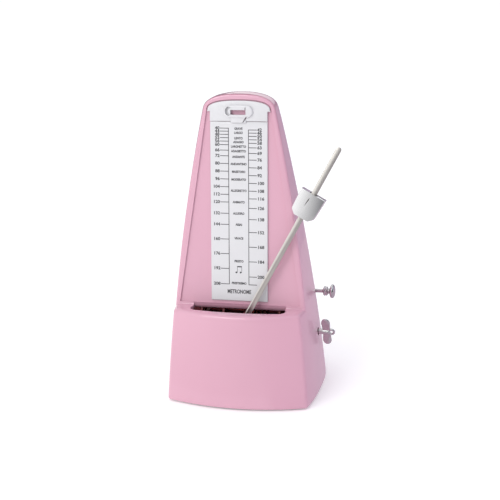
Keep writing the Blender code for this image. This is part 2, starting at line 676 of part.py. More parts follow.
def make_bell(steel, brass, chrome):
    """The selector rod with its knob, the hammer that rides on it, and the bell on its bracket."""
    knob = [(-2.0, 1.0), (-1.6, 1.3), (53.2, 1.3), (54.2, 1.9), (55.4, 3.3), (56.4, 3.3), (57.4, 1.7),
            (58.4, 1.7), (58.8, 3.8), (59.4, 5.0), (60.6, 5.35), (61.6, 5.0), (62.4, 3.4), (62.7, 1.4)]
    rod = turned("selector_knob", knob, "X", (KNOB_Y, KNOB_Z), chrome, 20)
    put_origin(rod, (0, KNOB_Y, KNOB_Z))

    hammer = turned("bell_hammer", [(2.2, 1.7), (2.2, 3.2), (7.8, 3.2), (7.8, 1.7)], "X",
                    (KNOB_Y, KNOB_Z), brass, 16, hollow=True)
    head_y = BELL_Y + BELL_RADIUS + 0.6 + 2.2
    finger = box("bell_hammer_finger", (4.3, -20.0, 67.9), (5.7, 11.6, 69.5), None)
    arm = box("bell_hammer_arm", (4.0, head_y - 0.8, 70.0), (6.0, head_y + 1.4, 92.0), None)
    head = turned("bell_hammer_head", [(2.8, 1.6), (3.2, 2.2), (6.8, 2.2), (7.2, 1.6)], "X",
                  (head_y, 93.0), None, 12)
    for part in (finger, arm, head):
        boolean(hammer, part, "UNION")
    put_origin(hammer, (0, KNOB_Y, KNOB_Z))

    bell_profile = []
    for radius, shift in ((BELL_RADIUS, 0.0), (BELL_RADIUS - 1.2, -1.2)):
        side = [(3.5, radius)]
        for i in range(6):
            angle = math.radians(15 * i)
            side.append((11.5 + (11.0 + shift) * math.sin(angle), radius * math.cos(angle)))
        side.append((22.5 + shift, 1.6))
        bell_profile += side if shift == 0.0 else list(reversed(side))
    turned("bell", bell_profile, "X", (BELL_Y, BELL_Z), brass, 24, hollow=True)
    bracket = box("bell_bracket", (26.5, -11.5, 52.0), (28.2, -2.5, 100.0), steel)
    bore(bracket, "X", (BELL_Y, BELL_Z), 1.6, 24, 31, 12)
    turned("bell_screw", [(19.0, 2.8), (20.6, 2.8), (20.6, 1.2), (30.0, 1.2)], "X", (BELL_Y, BELL_Z),
           steel, 12)
    turned("bell_spacer", [(22.9, 1.6), (22.9, 3.4), (26.2, 3.4), (26.2, 1.6)], "X", (BELL_Y, BELL_Z),
           brass, 12, hollow=True)
    box("detent_spring", (27.2, KNOB_Y - 1.6, KNOB_Z + 1.8), (28.1, KNOB_Y + 1.6, KNOB_Z + 5.6), steel)


def main():
    clear_scene()
    pink = material("pink_gloss", (0.80, 0.45, 0.57), 0.22, 0.0)
    white = material("white_gloss", (0.82, 0.82, 0.84), 0.3, 0.0)
    dark = material("dark_plastic", (0.03, 0.03, 0.035), 0.5, 0.0)
    rubber = material("black_rubber", (0.02, 0.02, 0.02), 0.85, 0.0)
    chrome = material("chrome", (0.75, 0.75, 0.76), 0.08, 1.0)
    steel = material("satin_steel", (0.56, 0.55, 0.52), 0.35, 1.0)
    spring_steel = material("blued_spring", (0.10, 0.11, 0.16), 0.3, 1.0)
    brass = material("brass", (0.72, 0.52, 0.20), 0.3, 1.0)
    lead = material("cast_lead", (0.25, 0.25, 0.27), 0.6, 1.0)

    face = frame_empty("face", (0, FACE_Y0, 0), (-LEAN, 0, 0))
    make_casing(pink, face)
    make_bottom(dark, rubber, steel)
    make_face(white, face)
    make_pendulum(steel, chrome, brass, lead, face)
    make_frame_plates(steel, brass)
    make_winding(steel, brass, chrome, spring_steel)
    make_escapement(steel, brass)
    make_cams(steel, brass)
    make_bell(steel, brass, chrome)


main()
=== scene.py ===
"""Looks of a wind-up pyramid metronome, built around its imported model.

Shapes are worked out in millimetres and scaled by MM. The casing follows the formulas of the CAD casing,
with finer steps and rounded edges. Its sides stand up to 1 mm further out, and its front recess is a
little larger, after a comparison with the photograph.
"""
import json
import math

import bmesh
import bpy
from mathutils import Matrix, Vector


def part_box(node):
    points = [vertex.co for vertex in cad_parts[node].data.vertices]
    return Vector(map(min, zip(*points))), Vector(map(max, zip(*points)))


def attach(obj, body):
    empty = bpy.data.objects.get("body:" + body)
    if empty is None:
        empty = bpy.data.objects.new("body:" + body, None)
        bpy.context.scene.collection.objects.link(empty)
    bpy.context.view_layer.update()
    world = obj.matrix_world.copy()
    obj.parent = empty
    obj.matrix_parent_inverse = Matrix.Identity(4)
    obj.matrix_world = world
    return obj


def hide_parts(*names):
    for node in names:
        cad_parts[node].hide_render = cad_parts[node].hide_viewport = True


MM = 0.001

# Casing
CASE_HEIGHT = 222.6
SHELF_Z = 69.2                 # top of the wide base, where the pendulum slot is
WALL = 2.5
HALF_WIDTH_BASE = 55.9
HALF_WIDTH_TOP = 26.0
TOP_WIDTH_Z = 215.0            # height at which HALF_WIDTH_TOP holds
SIDE_SWELL = 4.1               # how far a side's mid-height stands outside a straight taper
FRONT_NARROWING = 3.2          # how much narrower the base is at its front corners than at its widest
FRONT_POWER = 2.5              # how late that narrowing sets in, from the widest place forward
WIDEST = (0.32, 0.19)          # where the plan is widest, from face to back, at the bottom and the top
REAR_POWER = (2.77, 2.45)      # superellipse power of the plan's rear, at the bottom and the top
BACK_Y_BASE = 59.0
BACK_SLOPE = 0.2
BACK_TOP_RADIUS = 19.0         # rounding from the top over to the back
BASE_FRONT_Y = -51.4
BASE_FRONT_SLOPE = 6.8 / 69.2
BASE_BOW = 9.4                 # how far the middle of the base's front stands out
BASE_CORNER_RADIUS = 3.6
CORNER_STEPS = 6
LEAN = math.radians(6.89)      # of the tower's face
FACE_Y0 = -41.3                # where the face would meet the table
ARCH_START_Z = 211.5
ARCH_POWER = 2.6               # superellipse power of the tower's top
FACE_ARCH_POWER = 2.5          # and of the arches of the recess and the cap
KEY_HOLE_RADIUS = 3.2
KNOB_HOLE_RADIUS = 1.9

# Edge roundings of the casing
EDGE_WIDTH = 2.6
SHELF_WEIGHT = 1.0             # front edge of the shelf
TOWER_WEIGHT = 0.6             # the tower's front edge
FILLET_WEIGHT = 0.4            # inner corner between shelf and tower
RIM_WEIGHT = 0.6               # edge at the table

# Front face, in the leaning face frame (x, height along the face)
PANEL_RECESS = 1.3
PANEL_BOTTOM = 71.8
PANEL_TOP_HALF_WIDTH = 23.75
PANEL_BOTTOM_HALF_WIDTH = 45.2
PANEL_SHOULDER = 212.9
PLATE_THICKNESS = 1.0
PLATE_HALF_WIDTH = 21.1
PLATE_BOTTOM = 74.2
GAP = 0.3
PLATE_FRONT = PANEL_RECESS - GAP - PLATE_THICKNESS
PLATE_BACK = PANEL_RECESS - GAP
CAP_BOTTOM = 204.9
CAP_EAR_HALF_WIDTH = 23.4
CAP_EAR_HEIGHT = 212.7
CAP_EAR_THICKNESS = 0.8        # of the ledge under the cap's arch
CAP_TOP = 219.9
CAP_FRONT = PLATE_FRONT - 0.8

# Pendulum slot in the shelf, and the scoop in the face's lower edge
SLOT_HALF_LENGTH = 35.3
SLOT_FRONT_Y = -44.0
SLOT_BACK_Y = -32.6
SLOT_BOW = 2.0
SCOOP_TOP = 72.4
SCOOP_DEPTH = 2.3
SCOOP_DROP = 5.7
SCOOP_HALF_LENGTH = 34.6
SCOOP_STEP = 0.15              # how far behind the face the scoop starts

# Pendulum, in its own frame: origin on the pivot, +Z along the rod
TILT = math.radians(28.5)
PIVOT_HEIGHT = 52.1
PIVOT_OUT = 5.4
ROD_TOP = 154.7
ROD_BOTTOM = -46.0
ROD_HALF_WIDTH = 2.0
ROD_HALF_THICKNESS = 0.5
ROD_EYE_RADIUS = 5.0
WEIGHT_BOTTOM = 98.2
WEIGHT_TOP = 117.0
WEIGHT_HALF_WIDTH = 9.65

# Key and knob
KEY_Y, KEY_Z = -2.5, 41.8
KNOB_Y, KNOB_Z = 14.0, 68.2
KEY_TWIST = math.radians(24)

# Scale print: the weight's place r above the pivot for a tempo follows
# tempo^2 = TEMPO_GAIN * (TEMPO_REACH - r) / (TEMPO_SPREAD + r^2)
TEMPO_GAIN = 4.87e6
TEMPO_REACH = 159.16
TEMPO_SPREAD = 12873.0
LEFT_TEMPOS = (40, 44, 48, 52, 56, 60, 66, 72, 80, 88, 96, 104, 112, 120, 132, 144, 160, 176, 192, 208)
RIGHT_TEMPOS = (42, 46, 50, 54, 58, 63, 69, 76, 84, 92, 100, 108, 116, 126, 138, 152, 168, 184, 200)
TEMPO_WORDS = (("GRAVE", 40.6), ("LARGO", 46), ("LENTO", 52.6), ("ADAGIO", 57), ("LARGHETTO", 62),
               ("ADAGIETTO", 67), ("ANDANTE", 73), ("ANDANTINO", 80.5), ("MAESTOSO", 88.5),
               ("MODERATO", 96.5), ("ALLEGRETTO", 108), ("ANIMATO", 120), ("ALLEGRO", 132),
               ("ASSAI", 144), ("VIVACE", 159), ("PRESTO", 184), ("PRESTISSIMO", 207))
INK = 0.03                     # how far print stands off the label
INK_ROOT = 0.02                # and how far its bars reach into it
PRINT_LINE = 0.5
NUMBER_SIZE = 3.1
WORD_SIZE = 2.25
NAME_SIZE = 4.1
NAME_HEIGHT = 80.9
LABEL_THICKNESS = 0.06
LABEL_MARGIN = 0.5             # from the plate's edge
LABEL_CLEARANCE = 0.005        # keeps the label's back off the plate's front
LABEL_TOP = 202.8

# Clockwork that shows only in the dark of the slot: its steel and brass get dark maroon colours, painted
# shade of the slot's dim pink inside
INSIDE = ("left_plate", "centre_plate", "right_plate", "front_bridge", "rear_bearing", "pillar_1",
          "pillar_2", "pillar_3", "pillar_nut_1", "pillar_nut_2", "pillar_nut_3", "spring_post",
          "verge_arbor", "crown_wheel", "counting_wheel", "escape_arbor", "great_wheel", "bell_bracket",
          "bell", "cam_2_beat", "cam_3_beat", "cam_4_beat", "cam_6_beat", "cam_arbor", "pendulum_collet")

# Camera
CAMERA_AZIMUTH = math.radians(14.02)
CAMERA_ELEVATION = math.radians(16.85)
CAMERA_ROLL = math.radians(-1.88)
CAMERA_DISTANCE = 890.3
CAMERA_TARGET = (0.1, 3.8, 101.5)
CAMERA_LENS = 85.23
SENSOR = 36.0


# ---------------------------------------------------------------- mesh helpers

def mix(start, end, amount):
    return start + (end - start) * amount


def link(name, mesh):
    made = bpy.data.objects.new(name, mesh)
    bpy.context.scene.collection.objects.link(made)
    return made


def mesh_piece(name, points, faces, sharp=35):
    """An object from points in millimetres, welded, with its faces pointing out and smooth shading."""
    mesh = bpy.data.meshes.new(name)
    mesh.from_pydata([Vector(p) * MM for p in points], [], faces)
    work = bmesh.new()
    work.from_mesh(mesh)
    bmesh.ops.remove_doubles(work, verts=work.verts, dist=1e-7)
    bmesh.ops.recalc_face_normals(work, faces=work.faces)
    work.to_mesh(mesh)
    work.free()
    mesh.shade_smooth()
    mesh.set_sharp_from_angle(angle=math.radians(sharp))
    return link(name, mesh)


def swap(axis, along, a, b):
    """A point from its place along an axis and its two other coordinates in X, Y, Z order."""
    return {"X": (along, a, b), "Y": (a, along, b), "Z": (a, b, along)}[axis]


def loft(name, rings, sharp=35):
    count = len(rings[0])
    points = [p for ring in rings for p in ring]
    faces = []
    for level in range(len(rings) - 1):
        low, high = level * count, (level + 1) * count
        for i in range(count):
            j = (i + 1) % count
            faces.append((low + i, low + j, high + j, high + i))
    faces.append(tuple(reversed(range(count))))
    faces.append(tuple(range(len(points) - count, len(points))))
    return mesh_piece(name, points, faces, sharp)


def prism(name, outline, axis, start, end):
    return loft(name, [[swap(axis, along, a, b) for a, b in outline] for along in (start, end)])


def block(name, low, high):
    outline = [(low[0], low[1]), (high[0], low[1]), (high[0], high[1]), (low[0], high[1])]
    return prism(name, outline, "Z", low[2], high[2])


def circle(radius, segments, centre=(0.0, 0.0)):
    step = 2 * math.pi / segments
    return [(centre[0] + radius * math.cos(i * step), centre[1] + radius * math.sin(i * step))
            for i in range(segments)]


def arc(radius, first, last, steps, centre=(0.0, 0.0)):
    """The points of an arc from one angle to another, in degrees."""
    angles = [math.radians(mix(first, last, i / steps)) for i in range(steps + 1)]
    return [(centre[0] + radius * math.cos(a), centre[1] + radius * math.sin(a)) for a in angles]


def stadium(half_length, half_height, centre, steps=12):
    """A lying outline with two round ends."""
    outline = []
    for side, turn in ((1, -90), (-1, 90)):
        end = (centre[0] + side * (half_length - half_height), centre[1])
        outline += arc(half_height, turn, turn + 180, steps, end)
    return outline


def mirrored(right):
    """A closed outline from its right half, which starts off the middle and ends on it."""
    return right + [(-x, z) for x, z in reversed(right[:-1])]


def turned(name, profile, axis, centre, segments=64):
    """A turned solid from (along, radius) points."""
    rings = [[swap(axis, along, a, b) for a, b in circle(radius, segments, centre)]
             for along, radius in profile]
    return loft(name, rings)


def rounded(points, radius, steps=6):
    """A polyline with its inner corners replaced by arcs that keep the given distance of each corner."""
    made = [points[0]]
    for before, corner, after in zip(points, points[1:], points[2:]):
        here = Vector(corner)
        back, ahead = Vector(before) - here, Vector(after) - here
        reach = min(radius, back.length * 0.45, ahead.length * 0.45)
        start, end = here + back.normalized() * reach, here + ahead.normalized() * reach
        for i in range(steps + 1):
            t = i / steps
            made.append(tuple(start * (1 - t) ** 2 + here * 2 * t * (1 - t) + end * t ** 2))
    made.append(points[-1])
    return made


def boolean(target, other, operation):
    step = target.modifiers.new(other.name, "BOOLEAN")
    step.operation = operation
    step.solver = "EXACT"
    step.object = other


def bevel(target, width, segments=3, angle=40):
    step = target.modifiers.new("edge", "BEVEL")
    step.width = width * MM
    step.segments = segments
    step.limit_method = "ANGLE"
    step.angle_limit = math.radians(angle)
    step.use_clamp_overlap = True


def settle(piece, sharp=35):
    """Turns a piece's modifiers into its mesh, and removes the guides that they used."""
    guides = [m.object for m in piece.modifiers if m.type == "BOOLEAN"]
    bpy.context.view_layer.update()
    evaluated = piece.evaluated_get(bpy.context.evaluated_depsgraph_get())
    mesh = bpy.data.meshes.new_from_object(evaluated)
    piece.modifiers.clear()
    piece.data = mesh
    for guide in guides:
        bpy.data.objects.remove(guide)
    mesh.shade_smooth()
    mesh.set_sharp_from_angle(angle=math.radians(sharp))
    return piece


def place(piece, matrix):
    piece.data.transform(matrix)
    return piece


def face_frame():
    return Matrix.Translation(Vector((0, FACE_Y0, 0)) * MM) @ Matrix.Rotation(-LEAN, 4, "X")


def pendulum_frame():
    offset = Matrix.Translation(Vector((0, -PIVOT_OUT, PIVOT_HEIGHT)) * MM)
    return face_frame() @ offset @ Matrix.Rotation(TILT, 4, "Y")


def dress(piece, finish, body, slot, *nodes):
    """Gives a piece its material and the body it rides on, and hides the CAD nodes it stands for. The slot
    is not used.
    """
    piece.data.materials.clear()
    piece.data.materials.append(finish)
    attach(piece, body)
    if nodes:
        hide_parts(*nodes)
    return piece


# ---------------------------------------------------------------- materials

class Finish:
    """A Principled material, with helpers that add procedural nodes to it."""

    def __init__(self, name, color, roughness, metallic=0.0):
        self.material = bpy.data.materials.new(name)
        self.material.use_nodes = True
        self.nodes = self.material.node_tree.nodes
        self.links = self.material.node_tree.links
        self.shader = self.nodes["Principled BSDF"]
        self.set("Base Color", (*color, 1.0))
        self.set("Roughness", roughness)
        self.set("Metallic", metallic)
        self.coordinates = self.nodes.new("ShaderNodeTexCoord").outputs["Object"]

    def set(self, socket, value):
        self.shader.inputs[socket].default_value = value

    def stretched(self, scale):
        """Object coordinates stretched along the axes."""
        mapping = self.nodes.new("ShaderNodeMapping")
        mapping.inputs["Scale"].default_value = scale
        self.links.new(self.coordinates, mapping.inputs["Vector"])
        return mapping.outputs["Vector"]

    def noise(self, scale, detail=3.0, vector=None):
        made = self.nodes.new("ShaderNodeTexNoise")
        made.inputs["Scale"].default_value = scale
        made.inputs["Detail"].default_value = detail
        self.links.new(vector or self.coordinates, made.inputs["Vector"])
        return made.outputs["Fac"]

    def spread(self, value, low, high, start=0.3, end=0.7):
        """Maps a noise value onto the range low to high."""
        made = self.nodes.new("ShaderNodeMapRange")
        made.inputs["From Min"].default_value = start
        made.inputs["From Max"].default_value = end
        made.inputs["To Min"].default_value = low
        made.inputs["To Max"].default_value = high
        self.links.new(value, made.inputs["Value"])
        return made.outputs["Result"]

    def vary_color(self, value, first, second, start=0.3, end=0.7, socket="Base Color"):
        ramp = self.nodes.new("ShaderNodeMix")
        ramp.data_type = "RGBA"
        self.links.new(self.spread(value, 0.0, 1.0, start, end), ramp.inputs["Factor"])
        ramp.inputs["A"].default_value = (*first, 1.0)
        ramp.inputs["B"].default_value = (*second, 1.0)
        self.links.new(ramp.outputs["Result"], self.shader.inputs[socket])

    def vary_roughness(self, value, low, high):
        self.links.new(self.spread(value, low, high), self.shader.inputs["Roughness"])

    def bump(self, value, strength, depth):
        made = self.nodes.new("ShaderNodeBump")
        made.inputs["Strength"].default_value = strength
        made.inputs["Distance"].default_value = depth * MM
        self.links.new(value, made.inputs["Height"])
        previous = self.shader.inputs["Normal"].links
        if previous:
            self.links.new(previous[0].from_socket, made.inputs["Normal"])
        self.links.new(made.outputs["Normal"], self.shader.inputs["Normal"])


def scaled(color, factor):
    return tuple(c * factor for c in color)


def pink_plastic():
    """Injection-moulded glossy plastic: faint flow marks, a fine moulded skin and a clear gloss."""
    color = (0.658, 0.352, 0.452)
    made = Finish("glossy_pink_plastic", color, 0.3)
    made.vary_color(made.noise(9, 1), color, scaled(color, 0.98))
    made.vary_roughness(made.noise(40, 1), 0.28, 0.32)
    made.bump(made.noise(9, 0), 0.02, 0.2)
    made.set("Coat Weight", 0.85)
    made.set("Coat Roughness", 0.03)
    return made.material


def white_plastic(name, color, roughness):
    made = Finish(name, color, roughness)
    made.vary_color(made.noise(30, 2), color, scaled(color, 0.98))
    made.vary_roughness(made.noise(300, 3), roughness - 0.03, roughness + 0.05)
    made.bump(made.noise(2200, 2), 0.05, 0.02)
    made.set("Coat Weight", 0.2)
    made.set("Coat Roughness", 0.1)
    return made.material


def ink():
    made = Finish("print_ink", (0.05, 0.05, 0.055), 0.55)
    made.vary_color(made.noise(700, 3), (0.045, 0.045, 0.05), (0.075, 0.075, 0.08))
    return made.material


def metal(name, color, low, high, grain=(1, 1, 1), grain_scale=500, depth=0.01, tarnish=0.93):
    """A metal with a directional grain in its roughness and bump, and slight tarnish."""
    made = Finish(name, color, low, 1.0)
    streaks = made.noise(grain_scale, 4, made.stretched(grain))
    made.vary_color(made.noise(60, 3), color, scaled(color, tarnish))
    made.vary_roughness(streaks, low, high)
    made.bump(streaks, 0.12, depth)
    return made.material


def dull(name, color, roughness, grain_scale, depth):
    made = Finish(name, color, roughness)
    made.vary_color(made.noise(grain_scale / 6, 3), color, scaled(color, 1.3))
    made.vary_roughness(made.noise(grain_scale, 3), roughness - 0.06, roughness + 0.06)
    made.bump(made.noise(grain_scale, 3), 0.25, depth)
    return made.material


def make_finishes():
    """One material for each of the record's slots, and the ones that only the looks need."""
    return {
        "pink_casing": pink_plastic(),
        "white_plastic": white_plastic("satin_white_plastic", (0.665, 0.66, 0.675), 0.3),
        "label": white_plastic("label_sheet", (0.665, 0.66, 0.675), 0.42),
        "ink": ink(),
        "dark_plastic": dull("dark_textured_plastic", (0.03, 0.03, 0.033), 0.5, 1500, 0.05),
        "rubber": dull("black_rubber", (0.022, 0.022, 0.023), 0.8, 900, 0.06),
        "chrome": metal("worn_chrome", (0.64, 0.635, 0.64), 0.09, 0.15, depth=0.002),
        "weight_chrome": metal("polished_chrome", (0.92, 0.915, 0.925), 0.08, 0.12, depth=0.001,
                               tarnish=0.97),
        "satin_steel": metal("satin_steel", (0.56, 0.545, 0.515), 0.3, 0.42, (1, 1, 1), 700),
        "rod_steel": metal("brushed_rod_steel", (0.62, 0.595, 0.56), 0.3, 0.42, (14, 14, 0.4), 160),
        "brass": metal("turned_brass", (0.74, 0.53, 0.21), 0.22, 0.34, (1, 6, 6), 220),
        # painted shade: dark maroon steel and brass for the clockwork in the slot's shadow
        "shaded_steel": metal("steel_in_painted_shade", (0.09, 0.034, 0.036), 0.4, 0.55),
        "shaded_brass": metal("brass_in_painted_shade", (0.09, 0.038, 0.03), 0.4, 0.55),
        "spring_steel": metal("blued_spring_steel", (0.13, 0.15, 0.23), 0.25, 0.38, (0.5, 1, 1), 400),
        "cast_weight": metal("cast_weight_metal", (0.24, 0.24, 0.25), 0.5, 0.65, depth=0.05),
    }


# ---------------------------------------------------------------- casing

def share(z):
    return z / TOP_WIDTH_Z


def half_width(z):
    t = share(z)
    return mix(HALF_WIDTH_BASE, HALF_WIDTH_TOP, t) + 4 * SIDE_SWELL * t * (1 - t)


def face_y(z):
    return FACE_Y0 + z * math.tan(LEAN)


def base_corner_y(z):
    return BASE_FRONT_Y + BASE_FRONT_SLOPE * z


def back_y(z):
    over = max(0.0, min(1.0, (z - CASE_HEIGHT) / BACK_TOP_RADIUS + 1))
    return BACK_Y_BASE - BACK_SLOPE * z - BACK_TOP_RADIUS * (1 - math.sqrt(1 - over ** 2))


def widest_y(z):
    return mix(face_y(z), back_y(z), mix(*WIDEST, share(z)))


def side_x(z, y):
    """Half width in front of the widest place, where the plan narrows towards the front corner."""
    middle = widest_y(z)
    forward = (middle - y) / (middle - base_corner_y(min(z, SHELF_Z)))
    return half_width(z) - FRONT_NARROWING * max(0.0, forward) ** FRONT_POWER


class Skin:
    """Collects points, faces and bevelled edges of a mesh whose points may coincide."""

    def __init__(self):
        self.points, self.faces, self.places, self.weights = [], [], {}, {}

    def point(self, place):
        key = tuple(round(c, 4) + 0.0 for c in place)
        if key not in self.places:
            self.places[key] = len(self.points)
            self.points.append(key)
        return self.places[key]

    def face(self, corners):
        kept = [c for i, c in enumerate(corners) if c != corners[i - 1]]
        if len(set(kept)) > 2:
            self.faces.append(kept)

    def bevel_line(self, line, weight):
        for a, b in zip(line, line[1:]):
            if a != b:
                self.weights[frozenset((a, b))] = weight

    def piece(self, name):
        """Makes the object, with its bevel weights stored on the edges."""
        mesh = bpy.data.meshes.new(name)
        mesh.from_pydata([Vector(p) * MM for p in self.points], [], self.faces)
        work = bmesh.new()
        work.from_mesh(mesh)
        bmesh.ops.recalc_face_normals(work, faces=work.faces)
        work.to_mesh(mesh)
        work.free()
        layer = mesh.attributes.new("bevel_weight_edge", "FLOAT", "EDGE")
        for edge in mesh.edges:
            layer.data[edge.index].value = self.weights.get(frozenset(edge.vertices), 0.0)
        return link(name, mesh)


def side_points(z, inset, squeeze, steps):
    """The side and the rear, from the tower's face round to the middle of the back."""
    side_steps, rear_steps = steps
    face, middle, back = face_y(z) + inset, widest_y(z), back_y(z) - inset
    made = []
    for i in range(side_steps):
        y = mix(face, middle, i / side_steps)
        made.append(((side_x(z, y) - inset) * squeeze, y))
    power = 2 / mix(*REAR_POWER, share(z))
    for i in range(rear_steps + 1):
        angle = math.pi / 2 * i / rear_steps
        x = (half_width(z) - inset) * squeeze * max(0.0, math.cos(angle)) ** power
        made.append((x if i < rear_steps else 0.0, mix(middle, back, math.sin(angle) ** power)))
    return [(x, y, z) for x, y in made]


def base_front_points(z, inset, columns, side_columns):
    """The base's bowed front, its rounded corner and the side up to the tower's face."""
    corner = Vector((side_x(z, base_corner_y(z)) - inset, base_corner_y(z) + inset))
    ahead = Vector((side_x(z, corner.y + 4) - inset, corner.y + 4)) - corner
    back = Vector((-corner.x, -2 * BASE_BOW))
    opening = ahead.angle(back)
    reach = max(0.6, BASE_CORNER_RADIUS - inset) / math.tan(opening / 2)
    start, end = corner + back.normalized() * reach, corner + ahead.normalized() * reach
    made = [(start.x * i / columns, corner.y - BASE_BOW * (1 - (start.x * i / columns / corner.x) ** 2))
            for i in range(columns)]
    weight = math.sin(opening / 2)
    for i in range(CORNER_STEPS + 1):
        t = i / CORNER_STEPS
        low, middle, high = (1 - t) ** 2, 2 * weight * t * (1 - t), t * t
        made.append(tuple((start * low + corner * middle + end * high) / (low + middle + high)))
    face = face_y(z) + inset
    for i in range(1, side_columns):
        y = mix(end.y, face, i / side_columns)
        made.append((side_x(z, y) - inset, y))
    return [(x, y, z) for x, y in made]


def casing_skin(name, inset, bottom, base_rows, tower_rows, arch_rows, steps=(8, 22)):
    """The closed skin of the casing, a given distance inside the outer one."""
    columns, side_columns = 12, 3
    shelf, start, top = SHELF_Z - inset, ARCH_START_Z - inset * 0.5, CASE_HEIGHT - inset
    skin = Skin()

    def both_sides(places):
        right = [skin.point(p) for p in places]
        left = [skin.point((-p[0], p[1], p[2])) for p in places]
        return right, left

    fronts, sides = [], []
    for row in base_rows:
        z = mix(bottom, shelf, row)
        fronts.append(both_sides(base_front_points(z, inset, columns, side_columns)))
        sides.append(both_sides(side_points(z, inset, 1.0, steps)))
    shelf_row = len(sides) - 1
    for row in tower_rows:
        sides.append(both_sides(side_points(mix(shelf, start, row), inset, 1.0, steps)))
    for i in range(1, arch_rows + 1):
        angle = math.pi / 2 * i / arch_rows
        z = mix(start, top, math.sin(angle) ** (2 / ARCH_POWER))
        squeeze = max(0.0, math.cos(angle)) ** (2 / ARCH_POWER) if i < arch_rows else 0.0
        sides.append(both_sides(side_points(z, inset, squeeze, steps)))

    for hand in (0, 1):
        for low, high in zip(fronts, fronts[1:]):
            for i in range(len(low[hand]) - 1):
                skin.face([low[hand][i], low[hand][i + 1], high[hand][i + 1], high[hand][i]])
        for row, (low, high) in enumerate(zip(sides, sides[1:])):
            if row < shelf_row:
                skin.face([fronts[row][hand][-1], low[hand][0], high[hand][0],
                           fronts[row + 1][hand][-1]])
            for i in range(len(low[hand]) - 1):
                skin.face([low[hand][i], low[hand][i + 1], high[hand][i + 1], high[hand][i]])
        skin.bevel_line(fronts[-1][hand] + [sides[shelf_row][hand][0]], SHELF_WEIGHT)
        skin.bevel_line([side[hand][0] for side in sides[shelf_row:]], TOWER_WEIGHT)
        skin.bevel_line(fronts[0][hand] + sides[0][hand], RIM_WEIGHT)
    skin.bevel_line([sides[shelf_row][0][0], sides[shelf_row][1][0]], FILLET_WEIGHT)

    right, left = fronts[-1]
    skin.face(list(reversed(left[1:])) + right + [sides[shelf_row][0][0], sides[shelf_row][1][0]])
    right_path = [side[0][0] for side in sides[shelf_row:]]
    left_path = [side[1][0] for side in sides[shelf_row:]]
    skin.face(right_path + list(reversed(left_path[:-1])))
    right, left = fronts[0]
    right, left = right + sides[0][0], left + sides[0][1]
    skin.face(right + list(reversed(left[1:-1])))
    return skin.piece(name)


def face_arch(half, shoulder, top, steps):
    """The right half of a flat arch, as (x, height) points."""
    made = []
    for i in range(steps + 1):
        angle, power = math.pi / 2 * i / steps, 2 / FACE_ARCH_POWER
        made.append((half * math.cos(angle) ** power if i < steps else 0.0,
                     shoulder + (top - shoulder) * math.sin(angle) ** power))
    return made


def recess_cutter():
    """The recess of the face, with its edges eased."""
    rings = []
    for depth, grown in ((-6.0, 0.3), (-0.12, 0.3), (0.0, 0.12), (0.12, 0.02), (0.3, 0.0), (1.1, 0.0),
                         (PANEL_RECESS, -0.2)):
        right = [(PANEL_BOTTOM_HALF_WIDTH + grown, PANEL_BOTTOM - grown)]
        right += face_arch(PANEL_TOP_HALF_WIDTH + grown, PANEL_SHOULDER, CAP_TOP + GAP + grown, 24)
        rings.append([(x, depth, z) for x, z in mirrored(right)])
    return place(loft("casing_recess", rings), face_frame())


def slot_cutter():
    rings = []
    for z, grown in ((SHELF_Z - 8, 0.0), (SHELF_Z - 0.7, 0.0), (SHELF_Z - 0.3, 0.12), (SHELF_Z, 0.5),
                     (SHELF_Z + 1.5, 0.6)):
        rings.append([(x, y, z) for x, y in slot_outline(grown)])
    return loft("casing_slot", rings)


def slot_outline(grown):
    """The pendulum slot in plan: round ends, and a front edge that bows with the base."""
    radius, middle_y = (SLOT_BACK_Y - SLOT_FRONT_Y) / 2, (SLOT_BACK_Y + SLOT_FRONT_Y) / 2
    outline = stadium(SLOT_HALF_LENGTH + grown, radius + grown, (0, middle_y))
    for i in range(1, 12):
        s = -1 + i / 6
        outline.append(((SLOT_HALF_LENGTH - radius) * s, SLOT_FRONT_Y - grown - SLOT_BOW * (1 - s * s)))
    return outline


def scoop_cutter():
    """Rolls the lower edge of the tower's face back into the slot."""
    face = face_y(SCOOP_TOP)
    profile = [(face - 3.0, SCOOP_TOP)]
    for i in range(16):
        angle = math.radians(5 * i)
        profile.append((face + SCOOP_STEP + SCOOP_DEPTH * (1 - math.cos(angle)),
                        SCOOP_TOP - SCOOP_DROP * math.sin(angle)))
    depth = profile[-1][0]
    profile += [(depth, SHELF_Z - 7), (face - 3.0, SHELF_Z - 7)]
    return prism("casing_scoop", profile, "X", -SCOOP_HALF_LENGTH, SCOOP_HALF_LENGTH)


def make_casing(finish):
    base_rows = [0.0, 0.05, 0.15, 0.3, 0.45, 0.6, 0.75, 0.87, 0.94, 1.0]
    tower_rows = [0.03] + [i / 16 for i in range(1, 16)] + [1.0]
    casing = casing_skin("casing_shell", 0.0, 0.0, base_rows, tower_rows, 18)
    rounding = casing.modifiers.new("edges", "BEVEL")
    rounding.limit_method = "WEIGHT"
    rounding.width = EDGE_WIDTH * MM
    rounding.segments = 5
    rounding.use_clamp_overlap = False
    hollow = casing_skin("casing_hollow", WALL, -1.0, [0.0, 0.3, 0.6, 1.0],
                         [0.2, 0.4, 0.6, 0.8, 1.0], 8, (4, 9))
    boolean(casing, hollow, "DIFFERENCE")
    boolean(casing, recess_cutter(), "DIFFERENCE")
    boolean(casing, slot_cutter(), "DIFFERENCE")
    boolean(casing, scoop_cutter(), "DIFFERENCE")
    for name, centre, radius in (("key", (KEY_Y, KEY_Z), KEY_HOLE_RADIUS),
                                 ("knob", (KNOB_Y, KNOB_Z), KNOB_HOLE_RADIUS)):
        through_wall = [(40, radius), (62, radius)]
        hole = turned(f"casing_{name}_hole", through_wall, "X", centre, 48)
        boolean(casing, hole, "DIFFERENCE")
    settle(casing, 30)
    return dress(casing, finish["pink_casing"], "case", "pink_casing", "casing")


# ---------------------------------------------------------------- scale

